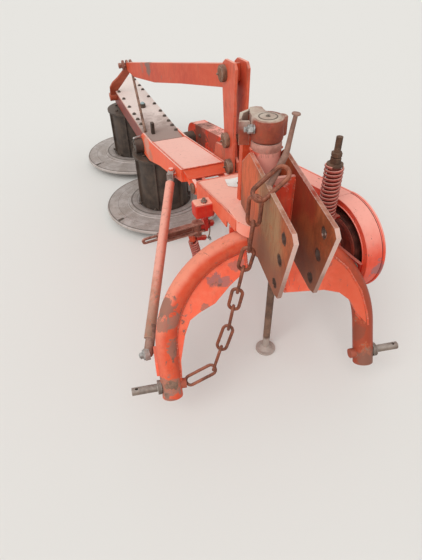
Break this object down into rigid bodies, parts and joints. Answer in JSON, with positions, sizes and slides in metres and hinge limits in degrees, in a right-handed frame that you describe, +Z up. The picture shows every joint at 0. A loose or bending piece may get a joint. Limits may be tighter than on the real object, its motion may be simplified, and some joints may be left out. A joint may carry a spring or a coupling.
{
  "type": "drum mower",
  "caption": "Rear-mounted rotary drum mower with a bent-pipe hitch frame and a side-swinging cutter bar, swung back to park",
  "frame": {"origin": "middle of the outer box on the ground", "axes": "+X along the lower hitch pins to the tractor's left, +Y away from the tractor, +Z up"},
  "size_m": [1.2168, 2.9063, 1.1167],
  "materials": {
    "red_paint": "worn satin",
    "worn_steel": "rusty",
    "bright_steel": "worn",
    "dark_steel": "dirty matt",
    "belt_rubber": "matt"
  },
  "bodies": {
    "headstock": {"hitch_arch": "red_paint", "arch_webs": "red_paint", "hitch_pins": "worn_steel", "toplink_plates": "worn_steel", "tower_tube": "red_paint", "kingpin": "bright_steel", "jack_sleeve": "red_paint", "lift_chain": "worn_steel", "chain_pin": "worn_steel"},
    "jack": {"jack_leg": "worn_steel"},
    "arm": {"arm_box": "red_paint", "swing_block": "worn_steel", "swing_strap": "red_paint", "side_block": "red_paint"},
    "mower_bar": {"yoke_box": "red_paint", "yoke_cheeks": "red_paint", "hinge_pin": "worn_steel", "mast_plates": "red_paint", "mast_lug": "red_paint", "mast_pins": "worn_steel", "lift_bar": "red_paint", "bar_knuckle": "dark_steel", "brace_plate": "red_paint", "stay_rod": "worn_steel", "beam": "red_paint", "beam_cover": "red_paint", "gear_boss": "bright_steel", "beam_lug": "dark_steel", "belt_guard": "red_paint", "pulley_housing": "red_paint", "drive_belts": "belt_rubber", "input_bearing": "red_paint", "spring_coil": "red_paint", "spring_rod": "worn_steel", "spring_seat": "red_paint", "lever_hanger": "red_paint", "slot_lever": "worn_steel", "lever_spring": "red_paint"},
    "input": {"input_pulley": "bright_steel"},
    "driven": {"small_pulley": "bright_steel"},
    "near_rotor": {"drum_near": "dark_steel", "disc_near": "bright_steel"},
    "near_skid": {"skid_near": "dark_steel"},
    "far_rotor": {"drum_far": "dark_steel", "disc_far": "bright_steel"},
    "far_skid": {"skid_far": "dark_steel"},
    "strut": {"strut_tube": "red_paint", "strut_ends": "worn_steel"}
  },
  "joints": [
    {"name": "swing", "type": "hinge", "parent": "headstock", "child": "arm", "pos_m": [0.10594, -1.04315, 0.72], "axis": [0, 0, 1], "range_deg": [0, 80]},
    {"name": "lift", "type": "hinge", "parent": "arm", "child": "mower_bar", "pos_m": [0.0324, -0.58906, 0.615], "axis": [0.9871, 0.1599, 0], "range_deg": [0, 30]},
    {"name": "jack_slide", "type": "slide", "parent": "headstock", "child": "jack", "axis": [0, 0, 1], "range_m": [0, 0.11]},
    {"name": "near_spin", "type": "hinge", "parent": "mower_bar", "child": "near_rotor", "pos_m": [-0.10814, 0.27863, 0.2], "axis": [0, 0, 1], "continuous": true},
    {"name": "far_spin", "type": "hinge", "parent": "mower_bar", "child": "far_rotor", "pos_m": [-0.23844, 1.08315, 0.2], "axis": [0, 0, 1], "continuous": true},
    {"name": "near_skid_spin", "type": "hinge", "parent": "near_rotor", "child": "near_skid", "pos_m": [-0.10814, 0.27863, 0.02], "axis": [0, 0, 1], "continuous": true},
    {"name": "far_skid_spin", "type": "hinge", "parent": "far_rotor", "child": "far_skid", "pos_m": [-0.23844, 1.08315, 0.02], "axis": [0, 0, 1], "continuous": true},
    {"name": "input_spin", "type": "hinge", "parent": "mower_bar", "child": "input", "pos_m": [0.47188, -0.93829, 0.5], "axis": [0.967, 0.2548, 0], "continuous": true},
    {"name": "driven_spin", "type": "hinge", "parent": "mower_bar", "child": "driven", "pos_m": [0.14062, 0.31892, 0.455], "axis": [0.967, 0.2548, 0], "continuous": true},
    {"name": "strut_turn", "type": "hinge", "parent": "mower_bar", "child": "strut", "pos_m": [-0.11724, -0.41576, 0.597], "axis": [0, 0, 1], "range_deg": [-80, 0]}
  ],
  "couplings": [
    {"joint": "far_spin", "follows": "near_spin", "ratio": -1},
    {"joint": "driven_spin", "follows": "near_spin", "ratio": 0.556},
    {"joint": "input_spin", "follows": "near_spin", "ratio": 0.273},
    {"joint": "strut_turn", "follows": "swing", "ratio": -1}
  ]
}
